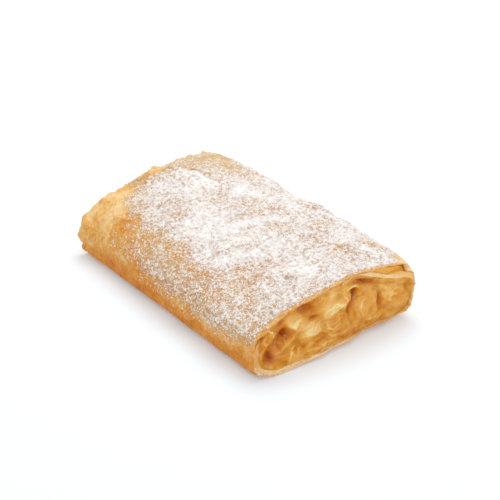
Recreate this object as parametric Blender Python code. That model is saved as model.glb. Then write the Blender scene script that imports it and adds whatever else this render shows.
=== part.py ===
# A portion of apple strudel: a flat roll of thin baked dough, cut straight across
# at its near end and torn at its far end, with apple filling right through it.
# Metres, +Z up.  +X points to the cut, -Y to the low folded side, +Y to the thick rounded side.

import math
import random

import bmesh
import bpy
from mathutils import Matrix, Vector

# driving dimensions
LENGTH = 0.125            # cut to torn end, along the roll
WIDTH = 0.081
GAP = 0.0003              # between the dough and the filling
FLOOR_SKIN = 0.0018       # dough under the filling
SIDE_SKIN = 0.0020
TOP_SKIN = 0.0012

# each triple runs along the roll: torn end, middle, cut
TOP_LOW_SIDE = (0.0214, 0.0218, 0.0205)
TOP_THICK_SIDE = (0.0261, 0.0279, 0.0272)
CROWN = (0.0032, 0.0034, 0.0034)
WAIST_LOW_SIDE = (0.0090, 0.0090, 0.0090)      # height where each side is widest
WAIST_THICK_SIDE = (0.0130, 0.0135, 0.0140)

# how square each quarter of the section is, 2 being an ellipse
SQUARE_TOP_THICK = (3.8, 4.4, 4.2)
SQUARE_TOP_LOW = (3.2, 3.4, 7.0)
SQUARE_FOOT_LOW = (11.0, 11.0, 14.0)
SQUARE_FOOT_THICK = (2.8, 3.0, 3.6)

# the outer sheet peels up from the cut edge, over the thick side
PEEL_CENTRE = 0.62        # across, -1 low side to 1 thick side
PEEL_SPREAD = 0.46
PEEL_RISE = 0.0030
PEEL_REACH = 0.024        # how far back along the roll it fades
FOLD_START = 0.24         # across, where the dough doubles up under the peeled sheet
FOLD_FULL = 0.84
FOLD_SKIN = 0.0054
FOLD_REACH = 0.030
POCKET_DEPTH = 0.012
POCKET_ANGLES = (math.radians(18), math.radians(72))
POCKET_MIDDLE = 0.44      # share of the dough's thickness, from outside
POCKET_HALF = 0.28

# puffed surface
PUFF = 0.0007
PUFF_WAVES = ((1.3, 3.0, 0.4), (2.9, -5.0, 1.9), (3.7, 8.0, 3.1), (5.3, -2.0, 5.0), (0.6, 11.0, 2.2))

# ragged ends
CUT_JAG = 0.0003
CUT_LIP = 0.0030          # the under sheet sticks out below the cut
CUT_SKEW = 0.0002         # the foot of the cut stands back on the thick side
TORN_JAG = 0.0016
TORN_PULL = 0.0010        # how far the torn end stands back from the full length
TORN_TUCK = 0.0028        # the foot of its low corner is tucked in
TORN_STEPS = (            # across, how far back, and how wide
    (-0.98, 0.0009, 0.16), (-0.72, 0.0008, 0.08), (-0.42, -0.0008, 0.22),
    (-0.14, 0.0010, 0.06), (0.10, -0.0009, 0.16), (0.55, -0.0012, 0.20))

# filling
FILLING_RECESS = 0.0012
LUMP_COUNT = 40
LUMP_RADIUS = (0.0030, 0.0060)
LUMP_HEIGHT = 0.0022
LUMP_SEED = 11

# mesh steps
AROUND = 62
OUTER_STATIONS = 34
INNER_STATIONS = 15
END_RINGS = (0.93, 0.80, 0.66, 0.50, 0.34, 0.18)
POCKET_STEPS = 10


def along(s, values):
    """Smooth value through three stations: 0 torn end, 0.5 middle, 1 cut."""
    far, mid, near = values
    return far * (1 - s) * (1 - 2 * s) + 4 * mid * s * (1 - s) + near * s * (2 * s - 1)


def smooth(t):
    t = min(max(t, 0.0), 1.0)
    return t * t * (3 - 2 * t)


def unit_point(s, angle):
    """Point of the rounded-square section on a unit box; 0 is the thick side, 90 degrees the top."""
    c, d = math.cos(angle), math.sin(angle)
    if d >= 0:
        square = along(s, SQUARE_TOP_THICK if c >= 0 else SQUARE_TOP_LOW)
    else:
        square = along(s, SQUARE_FOOT_THICK if c >= 0 else SQUARE_FOOT_LOW)
    reach = (abs(c) ** square + abs(d) ** square) ** (-1 / square)
    return c * reach, d * reach


def fade_from_cut(s, reach):
    return math.exp(-((1 - s) * LENGTH / reach) ** 2)


def section(s, angle, depth):
    """Across and up of the dough; depth 0 is its outer face, 1 its inner face."""
    across, up = unit_point(s, angle)
    share = (across + 1) / 2
    waist = along(s, WAIST_LOW_SIDE) * (1 - share) + along(s, WAIST_THICK_SIDE) * share
    top = along(s, TOP_LOW_SIDE) * (1 - share) + along(s, TOP_THICK_SIDE) * share
    top += along(s, CROWN) * (1 - across * across)
    peel = PEEL_RISE * math.exp(-((across - PEEL_CENTRE) / PEEL_SPREAD) ** 2) * fade_from_cut(s, PEEL_REACH)
    fold = smooth((across - FOLD_START) / (FOLD_FULL - FOLD_START))
    skin = TOP_SKIN + FOLD_SKIN * fold * fade_from_cut(s, FOLD_REACH)
    top += peel * (1 - depth * smooth((across - FOLD_START) * 4)) - depth * skin
    y = across * (WIDTH / 2 - depth * SIDE_SKIN)
    if up >= 0:
        z = waist + (top - waist) * up
    else:
        floor = depth * FLOOR_SKIN
        z = max(waist + (waist - floor) * up * 1.02, floor)
    return y, z


def puff(s, angle):
    """Uneven rise of the baked top and sides, none underneath."""
    wave = sum(math.sin(a * math.tau * s + b * math.cos(angle) + c) for a, b, c in PUFF_WAVES)
    return PUFF * wave / 2 * smooth(math.sin(angle) + 0.35)


def cut_end(angle, across, up):
    """Where the dough stops at the cut, a little ragged, with a lip underneath."""
    jag = CUT_JAG * (math.sin(9 * angle) + math.sin(17 * angle + 1.0))
    lip = CUT_LIP * smooth(-up * 6 - 4.5) * smooth((across + 1.05) * 6) * smooth((0.35 - across) * 3)
    skew = CUT_SKEW * smooth(-up * 2) * smooth(across * 2)
    return LENGTH / 2 + jag + lip - skew


def torn_end(angle, across, up):
    """Where the dough stops at the torn end: flakes of different length over a tucked foot."""
    jag = TORN_JAG * (math.sin(7 * angle + 0.6) + 0.7 * math.sin(19 * angle) + 0.4 * math.sin(31 * angle))
    steps = sum(d * math.exp(-((across - c) / w) ** 2) for c, d, w in TORN_STEPS) if up > 0 else 0.0
    tuck = TORN_TUCK * smooth(-up * 4) * smooth((-across - 0.55) * 3)
    return -LENGTH / 2 + TORN_PULL + jag * 0.6 + steps + tuck


def surface(s, angle, depth):
    """Point of the dough, from its outer face at depth 0 to its inner face at depth 1."""
    y, z = section(s, angle, depth)
    rise = puff(s, angle) * (1 - depth)
    across, up = unit_point(s, angle)
    y += rise * across
    z = max(z + rise * max(up, 0.0), 0.0)
    start, stop = torn_end(angle, across, up), cut_end(angle, across, up)
    return Vector((start + (stop - start) * s, y, z))


def even_angles(count):
    """Angles that share the section's outline out evenly."""
    fine = [math.tau * k / 1440 for k in range(1441)]
    points = [Vector(section(0.5, angle, 0)) for angle in fine]
    run = [0.0]
    for a, b in zip(points, points[1:]):
        run.append(run[-1] + (b - a).length)
    angles, i = [], 0
    for k in range(count):
        while run[i + 1] < run[-1] * k / count:
            i += 1
        angles.append(fine[i])
    return angles


ANGLES = even_angles(AROUND)


def stations(count, first=0.0, last=1.0):
    """Places along the roll, closer together towards the cut."""
    return [first + (last - first) * (1 - (1 - k / count) ** 1.25) for k in range(count + 1)]


def loft(bm, rings):
    """Skin through rings of AROUND points each; returns the first and last edge loops."""
    column = bm.verts.layers.int.new("column")
    start = bmesh.ops.create_circle(bm, segments=AROUND, radius=1)["verts"]
    for k, vert in enumerate(start):
        vert[column] = k
        vert.co = rings[0][k]
    first = list({edge for vert in start for edge in vert.link_edges})
    edges = first
    for ring in rings[1:]:
        grown = bmesh.ops.extrude_edge_only(bm, edges=edges)["geom"]
        edges = [item for item in grown if isinstance(item, bmesh.types.BMEdge)]
        verts = [item for item in grown if isinstance(item, bmesh.types.BMVert)]
        edges = [edge for edge in edges if all(vert in verts for vert in edge.verts)]
        for vert in verts:
            vert.co = ring[vert[column]]
    return first, edges


def finish(bm, name, material):
    bmesh.ops.remove_doubles(bm, verts=bm.verts, dist=1e-6)
    bmesh.ops.triangulate(bm, faces=bm.faces)
    bmesh.ops.recalc_face_normals(bm, faces=bm.faces)
    mesh = bpy.data.meshes.new(name)
    bm.to_mesh(mesh)
    bm.free()
    mesh.materials.append(material)
    mesh.shade_smooth()
    mesh.set_sharp_from_angle(angle=math.radians(40))
    part = bpy.data.objects.new(name, mesh)
    bpy.context.collection.objects.link(part)
    return part


def make_material(name, colour, roughness):
    material = bpy.data.materials.new(name)
    material.use_nodes = True
    shader = material.node_tree.nodes["Principled BSDF"]
    shader.inputs["Base Color"].default_value = (*colour, 1)
    shader.inputs["Roughness"].default_value = roughness
    shader.inputs["Metallic"].default_value = 0.0
    return material


def make_pocket():
    """Wedge between the peeled outer sheet and the fold under it, open at the cut."""
    bm = bmesh.new()
    low, high = POCKET_ANGLES
    rings = []
    for k in range(5):
        back = k / 4
        s = 1 - back * POCKET_DEPTH / LENGTH
        ahead = 0.004 if k == 0 else 0.0
        ring = []
        for j in range(2 * POCKET_STEPS):
            t = (j if j <= POCKET_STEPS else 2 * POCKET_STEPS - j) / POCKET_STEPS
            side = -1 if j <= POCKET_STEPS else 1
            swell = math.sin(math.pi * t) ** 0.7 * (1 - back ** 2) * POCKET_HALF
            angle = low + (high - low) * (0.5 + (t - 0.5) * (1 - 0.4 * back))
            ring.append(surface(s, angle, POCKET_MIDDLE + side * swell) + Vector((ahead, 0, 0)))
        rings.append(ring)
    verts = [[bm.verts.new(point) for point in ring] for ring in rings]
    for a, b in zip(verts, verts[1:]):
        for j in range(len(a)):
            i = (j + 1) % len(a)
            bm.faces.new((a[j], a[i], b[i], b[j]))
    bm.faces.new(verts[0])
    cutter = finish(bm, "pocket_cutter", make_material("cutter", (0.5, 0.5, 0.5), 0.5))
    cutter.hide_render = True
    cutter.display_type = "WIRE"
    return cutter


def make_pastry():
    """The dough sleeve: out along its outer skin, back along its inner skin, less the pocket."""
    bm = bmesh.new()
    outer = [[surface(s, a, 0) for a in ANGLES] for s in stations(OUTER_STATIONS)]
    inner = [[surface(s, a, 1) for a in ANGLES] for s in stations(INNER_STATIONS)]
    loft(bm, outer + inner[::-1] + outer[:1])
    baked = make_material("baked_dough", (0.66, 0.38, 0.15), 0.6)
    pastry = finish(bm, "pastry", baked)
    cut = pastry.modifiers.new("pocket", "BOOLEAN")
    cut.operation = "DIFFERENCE"
    cut.object = make_pocket()
    return pastry


def lump_bed():
    """Apple pieces that stand out of each end: centre across and up, radius and height."""
    draw = random.Random(LUMP_SEED)
    lumps = []
    for _ in range(LUMP_COUNT):
        centre = (draw.uniform(-0.9, 0.9), draw.uniform(-0.8, 0.8))
        radius = draw.uniform(*LUMP_RADIUS)
        lumps.append((centre, radius, LUMP_HEIGHT * draw.uniform(-1, 1)))
    return lumps


def make_filling():
    """Apple filling: a plug that fills the sleeve, with lumpy ends set back a little."""
    bm = bmesh.new()
    lumps = lump_bed()
    inset = 1 + GAP / SIDE_SKIN

    def skin_point(s, angle, shrink=1.0):
        rim = surface(s, angle, inset)
        middle = Vector((LENGTH * (s - 0.5), 0, section(s, 0, 1)[1]))
        point = middle + (rim - middle) * shrink
        point.x = middle.x + (rim.x - middle.x) * shrink ** 4
        return point

    def end_point(s, angle, shrink, outward):
        point = skin_point(s, angle, shrink)
        across, up = unit_point(s, angle)
        push = sum(height * math.exp(-(((across * shrink - c[0]) * WIDTH / 2) ** 2
                                       + ((up * shrink - c[1]) * 0.012) ** 2) / radius ** 2)
                   for c, radius, height in lumps)
        point.x += outward * push * (1 - shrink ** 6)
        return point

    last = 1 - FILLING_RECESS / LENGTH
    first = 1 - last
    rings = [[end_point(first, a, shrink, -1) for a in ANGLES] for shrink in reversed(END_RINGS)]
    rings += [[skin_point(s, a) for a in ANGLES] for s in stations(INNER_STATIONS, first, last)]
    rings += [[end_point(last, a, shrink, 1) for a in ANGLES] for shrink in END_RINGS]
    torn_loop, cut_loop = loft(bm, rings)
    for loop in (torn_loop, cut_loop):
        cap = bmesh.ops.contextual_create(bm, geom=loop)["faces"]
        bmesh.ops.poke(bm, faces=cap)
    amber = make_material("apple_filling", (0.62, 0.34, 0.10), 0.35)
    return finish(bm, "filling", amber)


def centre_on_origin(parts):
    """Bring the middle of the whole, seen from above, to the origin."""
    points = [vert.co for part in parts for vert in part.data.vertices]
    middle = [(min(p[axis] for p in points) + max(p[axis] for p in points)) / 2 for axis in (0, 1)]
    shift = Matrix.Translation((-middle[0], -middle[1], 0))
    for part in bpy.data.objects:
        part.data.transform(shift)


for old in list(bpy.data.objects):
    bpy.data.objects.remove(old, do_unlink=True)
centre_on_origin([make_pastry(), make_filling()])
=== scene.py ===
import math
import random

import bmesh
import bpy
import numpy as np
from mathutils import Matrix, Vector, noise
from mathutils.bvhtree import BVHTree


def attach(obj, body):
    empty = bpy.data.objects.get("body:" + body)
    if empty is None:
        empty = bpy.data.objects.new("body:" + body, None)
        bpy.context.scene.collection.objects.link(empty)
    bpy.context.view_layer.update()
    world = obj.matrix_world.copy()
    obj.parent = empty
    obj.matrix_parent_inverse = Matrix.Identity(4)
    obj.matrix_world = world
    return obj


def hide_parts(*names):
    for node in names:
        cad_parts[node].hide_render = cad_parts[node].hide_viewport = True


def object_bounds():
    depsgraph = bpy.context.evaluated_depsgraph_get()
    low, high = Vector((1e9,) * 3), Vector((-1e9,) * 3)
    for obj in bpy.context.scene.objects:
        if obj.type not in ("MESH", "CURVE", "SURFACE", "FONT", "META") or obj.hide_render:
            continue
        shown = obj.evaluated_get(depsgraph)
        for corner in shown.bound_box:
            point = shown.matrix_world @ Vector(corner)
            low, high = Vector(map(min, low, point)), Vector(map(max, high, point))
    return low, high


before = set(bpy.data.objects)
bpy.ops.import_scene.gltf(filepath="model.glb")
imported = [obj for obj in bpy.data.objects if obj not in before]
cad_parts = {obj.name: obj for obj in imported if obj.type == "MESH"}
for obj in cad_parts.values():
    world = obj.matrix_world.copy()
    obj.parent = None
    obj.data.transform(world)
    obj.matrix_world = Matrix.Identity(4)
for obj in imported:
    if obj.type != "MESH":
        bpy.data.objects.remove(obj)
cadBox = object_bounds()
mm = 0.001  # shapes are worked out in millimetres
lipAlong = 65.92  # places along the roll are counted so that the lip under the cut stands here
alongShift = Vector((cadBox[1][0] / mm - lipAlong, 0, 0))

print("camera")
view = {
    "target": (0.5, 4.2, 14.0),
    "distance": 857.0,
    "azimuth": 53.2,
    "elevation": 29.87,
    "lens": 148.8,
}


def setCamera():
    heading = math.radians(90 + view["azimuth"])
    down = math.radians(view["elevation"])
    look = Vector((math.cos(heading) * math.cos(down), math.sin(heading) * math.cos(down), -math.sin(down)))
    camera = bpy.data.objects.new("camera", bpy.data.cameras.new("camera"))
    camera.data.lens = view["lens"]
    camera.data.sensor_width = 36
    camera.data.clip_end = 20
    camera.location = (Vector(view["target"]) + alongShift - look * view["distance"]) * mm
    camera.rotation_euler = look.to_track_quat("-Z", "Y").to_euler()
    bpy.context.collection.objects.link(camera)
    bpy.context.scene.camera = camera


setCamera()


def smooth(t):
    t = np.clip(t, 0.0, 1.0)
    return t * t * (3 - 2 * t)


def between(value, low, high):
    return smooth((np.asarray(value, float) - low) / (high - low))


def bumps(points, size, seed, octaves=1):
    # soft noise about -1 to 1, with bumps of that size in mm
    shift = Vector((13.7, 7.1, 3.3)) * seed
    flat = np.asarray(points, float).reshape(-1, 3) / size
    if octaves == 1:
        values = [noise.noise(Vector(p) + shift) for p in flat.tolist()]
    else:
        values = [noise.fractal(Vector(p) + shift, 1.0, 2.0, octaves) for p in flat.tolist()]
    return np.array(values).reshape(np.asarray(points).shape[:-1])


def toSegment(x, y, start, end):
    # distance to a line between two places seen from above, its side, and the share along it
    ax, ay = start
    bx, by = end
    dx, dy = bx - ax, by - ay
    run = math.hypot(dx, dy)
    share = ((x - ax) * dx + (y - ay) * dy) / run ** 2
    side = ((y - ay) * dx - (x - ax) * dy) / run
    clamped = np.clip(share, 0, 1)
    distance = np.hypot(x - ax - clamped * dx, y - ay - clamped * dy)
    return distance, side, share


def gridOn(places, layers, closed=False):
    # a grid laid on rows and columns of places in mm; layers are per-vertex values by name
    if closed:
        places = np.concatenate([places, places[:1]], 0)
        places = np.concatenate([places, places[:, :1]], 1)
        layers = {key: np.concatenate([v, v[:1]], 0) for key, v in layers.items()}
        layers = {key: np.concatenate([v, v[:, :1]], 1) for key, v in layers.items()}
    rows, columns = places.shape[:2]
    bm = bmesh.new()
    bmesh.ops.create_grid(bm, x_segments=columns - 1, y_segments=rows - 1, size=1)
    marks = {key: bm.verts.layers.float.new(key) for key in layers}
    for vert in bm.verts:
        j = round((vert.co.x + 1) / 2 * (columns - 1))
        i = round((vert.co.y + 1) / 2 * (rows - 1))
        vert.co = places[i, j]
        for key, mark in marks.items():
            vert[mark] = layers[key][i, j]
    if closed:
        bmesh.ops.remove_doubles(bm, verts=bm.verts, dist=1e-5)
    bmesh.ops.recalc_face_normals(bm, faces=bm.faces)
    return bm


def shellOn(top, bottom, layers):
    # a closed sheet from its two faces, which meet in a rim along the first row and pinch shut elsewhere
    places = np.concatenate([top[::-1], bottom, top[-1:]], 0)
    layers = {key: np.concatenate([v[::-1], v, v[-1:]], 0) for key, v in layers.items()}
    bm = gridOn(places, layers)
    bmesh.ops.remove_doubles(bm, verts=bm.verts, dist=1e-4)
    bmesh.ops.recalc_face_normals(bm, faces=bm.faces)
    return bm


def makePiece(bm, name, material, replaces=()):
    bmesh.ops.translate(bm, vec=alongShift, verts=bm.verts)
    bmesh.ops.scale(bm, vec=(mm, mm, mm), verts=bm.verts)
    mesh = bpy.data.meshes.new(name)
    bm.to_mesh(mesh)
    bm.free()
    return finishPiece(mesh, name, material, replaces)


def finishPiece(mesh, name, material, replaces=()):
    mesh.materials.append(material)
    mesh.shade_smooth()
    mesh.set_sharp_from_angle(angle=math.radians(55))
    piece = bpy.data.objects.new(name, mesh)
    bpy.context.collection.objects.link(piece)
    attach(piece, "root")
    for node in replaces:
        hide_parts(node)
    print("  %s: %d faces" % (name, len(mesh.polygons)))
    return piece


def paint(red, green, blue):
    # a screen colour, 0 to 255, as the shader wants it
    def straight(value):
        value /= 255
        return value / 12.92 if value <= 0.04045 else ((value + 0.055) / 1.055) ** 2.4
    return (straight(red), straight(green), straight(blue), 1.0)


class Wire:
    # a socket that can be reckoned with like a number
    def __init__(self, finish, socket):
        self.finish = finish
        self.socket = socket

    def __add__(self, other):
        return self.finish.maths("ADD", self, other)

    def __sub__(self, other):
        return self.finish.maths("SUBTRACT", self, other)

    def __mul__(self, other):
        return self.finish.maths("MULTIPLY", self, other)

    def __rsub__(self, other):
        return self.finish.maths("SUBTRACT", other, self)

    __radd__ = __add__
    __rmul__ = __mul__


class Finish:
    # one material and the nodes in it
    def __init__(self, name):
        self.material = bpy.data.materials.new(name)
        self.material.use_nodes = True
        self.tree = self.material.node_tree
        self.tree.nodes.clear()
        self.place = self.node("ShaderNodeTexCoord", output="Object")

    def node(self, kind, settings=None, values=None, output=0):
        made = self.tree.nodes.new(kind)
        for key, value in (settings or {}).items():
            if key == "stops":
                ramp = made.color_ramp.elements
                while len(ramp) < len(value):
                    ramp.new(0.5)
                for stop, (position, colour) in zip(ramp, value):
                    stop.position = position
                    stop.color = colour
            else:
                setattr(made, key, value)
        for key, value in (values or {}).items():
            if isinstance(value, Wire):
                self.tree.links.new(value.socket, made.inputs[key])
            else:
                made.inputs[key].default_value = value
        return Wire(self, made.outputs[output]) if made.outputs else None

    def maths(self, operation, *values):
        return self.node("ShaderNodeMath", {"operation": operation}, dict(enumerate(values)))

    def step(self, value, low, high):
        # 0 below low, 1 above high, smooth between
        return self.node("ShaderNodeMapRange", {"interpolation_type": "SMOOTHSTEP"},
                         {"Value": value, "From Min": low, "From Max": high})

    def mark(self, name):
        return self.node("ShaderNodeAttribute", {"attribute_name": name}, output="Fac")

    def bent(self, size, amount):
        # the place, shifted about by noise of that size, by that many mm
        drift = self.node("ShaderNodeTexNoise", output="Color",
                          values={"Vector": self.place, "Scale": 1000 / size})
        return self.node("ShaderNodeVectorMath", {"operation": "MULTIPLY_ADD"},
                         {0: drift, 1: (amount * mm,) * 3, 2: self.place})

    def grain(self, size, detail=2.0, roughness=0.5, stretch=None, place=None):
        # noise about 0.3 to 0.7, with spots of that size in mm
        place = place or self.place
        if stretch:
            place = self.node("ShaderNodeMapping", values={"Vector": place, "Scale": stretch})
        return self.node("ShaderNodeTexNoise", {"noise_dimensions": "3D"}, {
            "Vector": place, "Scale": 1000 / size, "Detail": detail, "Roughness": roughness})

    def colours(self, value, *stops):
        return self.node("ShaderNodeValToRGB", {"stops": stops}, {"Fac": value})

    def mix(self, mask, first, second):
        return self.node("ShaderNodeMix", {"data_type": "RGBA"}, {0: mask, 6: first, 7: second}, output=2)

    def relief(self, height, distance):
        return self.node("ShaderNodeBump", values={"Height": height, "Distance": distance * mm})

    def surface(self, **values):
        named = {key.replace("_", " "): value for key, value in values.items()}
        shader = self.node("ShaderNodeBsdfPrincipled", values=named)
        self.node("ShaderNodeOutputMaterial", values={"Surface": shader})
        return self.material


print("reading the frame")
sleeve = {
    "axisHeight": 13.0,   # rays start from a line through the roll at this height
    "reach": 70.0,
    "columns": 292,
    "rows": 250,
    "floorShare": 0.2,    # columns are this much sparser underneath
    "softening": 12,
}


def treeOf(mesh):
    # a mesh that rays can be sent at, in working millimetres
    bm = bmesh.new()
    bm.from_mesh(mesh)
    bmesh.ops.remove_doubles(bm, verts=bm.verts, dist=1e-6)
    bmesh.ops.scale(bm, vec=(1 / mm,) * 3, verts=bm.verts)
    bmesh.ops.translate(bm, vec=-alongShift, verts=bm.verts)
    tree = BVHTree.FromBMesh(bm)
    bm.free()
    return tree


doughTree = treeOf(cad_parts["pastry"].data)


def skinRadius(x, angle, inside=False):
    # from the axis to the dough's outer or inner face; None past the ragged ends
    out = Vector((0, math.cos(angle), math.sin(angle)))
    axis = Vector((x, 0, sleeve["axisHeight"]))
    start, heading = (axis, out) if inside else (axis + out * sleeve["reach"], -out)
    hit = doughTree.ray_cast(start, heading, sleeve["reach"])[0]
    return None if hit is None else (hit - axis).length


def skinEnd(angle, sign):
    # how far the outer face goes towards one end
    held, free = 50.0 * sign, 75.0 * sign
    for _ in range(13):
        middle = (held + free) / 2
        if skinRadius(middle, angle) is None:
            free = middle
        else:
            held = middle
    return held


def spreadAngles(count):
    fine = np.linspace(0, math.tau, 1441)
    radius = np.array([skinRadius(0, a) for a in fine])
    y, z = radius * np.cos(fine), sleeve["axisHeight"] + radius * np.sin(fine)
    step = np.hypot(np.diff(y), np.diff(z))
    step *= np.where(z[1:] < 0.6, sleeve["floorShare"], 1.0)
    run = np.concatenate([[0], np.cumsum(step)])
    return np.interp(np.arange(count) * run[-1] / count, run, fine)


def soften(field, passes):
    # evens a field out over rows, and round the closed columns
    for _ in range(passes):
        field = (np.roll(field, 1, 1) + 2 * field + np.roll(field, -1, 1)) / 4
        up = np.concatenate([field[:1], field[:-1]], 0)
        low = np.concatenate([field[1:], field[-1:]], 0)
        field = (up + 2 * field + low) / 4
    return field


def skinPlaces(x, angle, radius):
    y = radius * np.cos(angle)
    z = sleeve["axisHeight"] + radius * np.sin(angle)
    return np.stack([x, y, z], -1)


def fromAxis(y, z):
    # angle round the roll's axis, and distance from it
    up = z - sleeve["axisHeight"]
    return np.arctan2(up, y), np.hypot(up, y)


def turned(y, z, degrees):
    # the same offset, counted along axes turned by so much
    c, s = math.cos(math.radians(degrees)), math.sin(math.radians(degrees))
    return y * c + z * s, z * c - y * s


def normalsOf(places):
    # outward, for rows that run along the roll and columns that run round it
    along = np.gradient(places, axis=0)
    around = np.roll(places, -1, 1) - np.roll(places, 1, 1)
    normal = np.cross(around, along)
    return normal / np.maximum(np.linalg.norm(normal, axis=2, keepdims=True), 1e-9)


angles = spreadAngles(sleeve["columns"])
tornEnd = np.array([skinEnd(a, -1) for a in angles])
cutEnd = np.array([skinEnd(a, 1) for a in angles])
share = np.linspace(0, 1, sleeve["rows"])[:, None]


def readSkin():
    # the dough's outer face as a grid: rows along the roll, columns round it
    along = tornEnd + (cutEnd - tornEnd) * share
    radius = np.full(along.shape, np.nan)
    for j, angle in enumerate(angles):
        for i, x in enumerate(along[:, j]):
            found = skinRadius(min(max(x, tornEnd[j] + 0.3), cutEnd[j] - 0.3), angle)
            if found is not None:
                radius[i, j] = found
        good = np.isfinite(radius[:, j])
        radius[:, j] = np.interp(along[:, j], along[good, j], radius[good, j])
    return skinPlaces(along, angles[None, :], soften(radius, sleeve["softening"]))


outerSkin = readSkin()

# the inner face, as a table of radius by place along and angle
tableX = np.linspace(-55, 60, 24)
tableA = np.linspace(0, math.tau, 361)
innerTable = np.array([[skinRadius(x, a, inside=True) for a in tableA] for x in tableX])


def edgeAt(theta):
    return np.interp(np.mod(theta, math.tau), angles, cutEnd, period=math.tau)


def lipCurl(pastEdge, y, z):
    # how far the lower lip is curled up, by the distance past the cut's edge and the place across and up
    rise = np.interp(y, *np.transpose(crust["lipRise"]))
    return rise * between(pastEdge, -4.5, -0.3) ** 1.5 * (1 - between(z, 1.0, 7.0))


def innerRadius(x, angle):
    radius = tableRadius(x, angle)
    y, z = radius * np.cos(angle), sleeve["axisHeight"] + radius * np.sin(angle)
    lifted = lipCurl(x - edgeAt(angle), y, z)
    return radius * (1 - lifted / np.maximum(sleeve["axisHeight"] - z, 5))


def tableRadius(x, angle):
    x = np.clip(x, tableX[0], tableX[-1])
    angle = np.mod(angle, math.tau)
    i = (x - tableX[0]) / (tableX[1] - tableX[0])
    j = angle / (tableA[1] - tableA[0])
    i0 = np.clip(np.floor(i).astype(int), 0, len(tableX) - 2)
    j0 = np.clip(np.floor(j).astype(int), 0, len(tableA) - 2)
    fi, fj = i - i0, j - j0
    return ((innerTable[i0, j0] * (1 - fi) + innerTable[i0 + 1, j0] * fi) * (1 - fj)
            + (innerTable[i0, j0 + 1] * (1 - fi) + innerTable[i0 + 1, j0 + 1] * fi) * fj)


print("crust")
crust = {
    "skin": 1.0,          # thickness of the outer sheet, mm
    "peelSkin": 0.75,
    "sideSkin": 0.65,     # at the cut, on the thick side and underneath
    "peelBack": 0.5,      # the peeled sheet stops this much short of the cut
    "peelDroop": 0.9,     # and its lip hangs down by this much
    # how far the lower lip curls up off the floor, by place across
    "lipRise": ((-39, 0.3), (-27, 0.2), (-15, 0.9), (-5, 1.8), (5, 1.9), (16, 2.2), (26, 1.2), (36, 0.3)),
    "waves": 0.70,        # relief
    "wrinkles": 0.75,
    "blisters": 0.34,
    "ripples": 0.20,
    "edgeJag": 0.35,
    "rimRows": (0.0, 0.16, 0.3, 0.46, 0.62, 0.8, 1.0),
    "rimOut": (0.0, 0.30, 0.05, 0.38, 0.08, 0.28, 0.0),
    "rimWobble": 0.18,
    "innerRows": 20,
    # colour of the rim, 0 pale to 1 brown, and how much paler it is at some places; along the peeled lip
    # that is its own cream colour and a painted highlight
    "rimTone": 0.46,
    "lowLipPaler": 0.38,
    "thickSidePaler": (0.06, 0.18),
    "peelLipHighlight": 0.24,
    "groove": (0.15, 0.5),  # depth and width of the groove in front of an overlap
    # creases where sheets are pinched up: start, end, width, height, and sugar caught there
    "creases": (
        ((-5, -17), (0, -8), 1.6, 0.45, 0.35),
        ((0, -8), (4, 8), 1.3, 0.40, 0.30),
        ((4, 8), (9, 16), 1.5, 0.45, 0.35),
        ((16, -23), (24, -8), 1.6, 0.40, 0.35),
        ((38, -10), (49, 0), 1.8, 0.40, 0.30),
        ((-5, 25), (4, 27), 1.4, 0.35, 0.25),
        ((-22, 14), (-14, 18), 1.4, 0.35, 0.25),
        ((24, 12), (33, 20), 1.2, 0.35, 0.20),
        ((-38, -12), (-30, -2), 1.4, 0.30, 0.20),
        ((8, -26), (30, -32), 1.6, 0.35, 0.10),
        ((40, 22), (54, 27), 1.3, 0.35, 0.20),
    ),
    # edges of sheets that lie over others: start, end, height, how far back they are raised
    "overlaps": (
        ((10, 30), (30, 33), 0.40, 7),
        ((-52, -28), (-40, -36), 0.45, 6),
        ((-8, -34), (14, -36), 0.35, 5),
        ((22, 8), (40, 2), 0.30, 7),
    ),
    # the far sheet's edge, along and across; past it the sheet below is nearly bare, with a painted shadow
    # line along the edge
    "terrace": ((-66, -3), (-61, 2), (-56, 6), (-50, 8.5), (-44, 11), (-37, 12.2), (-30, 13.6), (-26, 14.2)),
    # on the low side's far end, along and up
    "lobeCrease": ((-62, 18.5), (-58, 17.2), (-53.5, 15.8), (-50.5, 14.2), (-49.8, 10.5)),
    "footLine": ((-63, 4.6), (-56, 5.2), (-49, 6.4), (-43, 5.6)),
    # bare patches: middle, size along, size across, how bare
    "bare": (
        ((-19, -30), 11, 4, 0.14),
        ((-5, -33), 8, 4, 0.12),
        ((31, -18), 9, 6, 0.30),
        ((40, -25), 10, 6, 0.12),
        ((22, -30), 12, 4, 0.14),
        ((-24, -15), 3, 3, 0.38),
        ((50, -35), 12, 2.5, 0.08),
        ((48, 31), 6, 4, 0.40),
        ((43, 18), 3, 6, 0.25),
        ((6, 32), 3, 4, 0.30),
        ((20, 27), 6, 4, 0.30),
        ((25, 16), 6, 5, 0.22),
        ((-7, 10), 7, 5, 0.20),
        ((12, 11), 7, 6, 0.20),
        ((4, 19), 4, 4, 0.15),
        ((-48, 27), 9, 8, 0.35),
        ((-60, -2), 5, 6, 0.35),
        ((-38, -12), 6, 5, 0.15),
    ),
}


def warped(places):
    # plan positions bent a little, so that no crease runs dead straight
    x = places[..., 0] + 2.2 * bumps(places, 9, 11) + 0.6 * bumps(places, 2.5, 13)
    y = places[..., 1] + 2.2 * bumps(places, 9, 12) + 0.6 * bumps(places, 2.5, 14)
    return x, y


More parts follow.
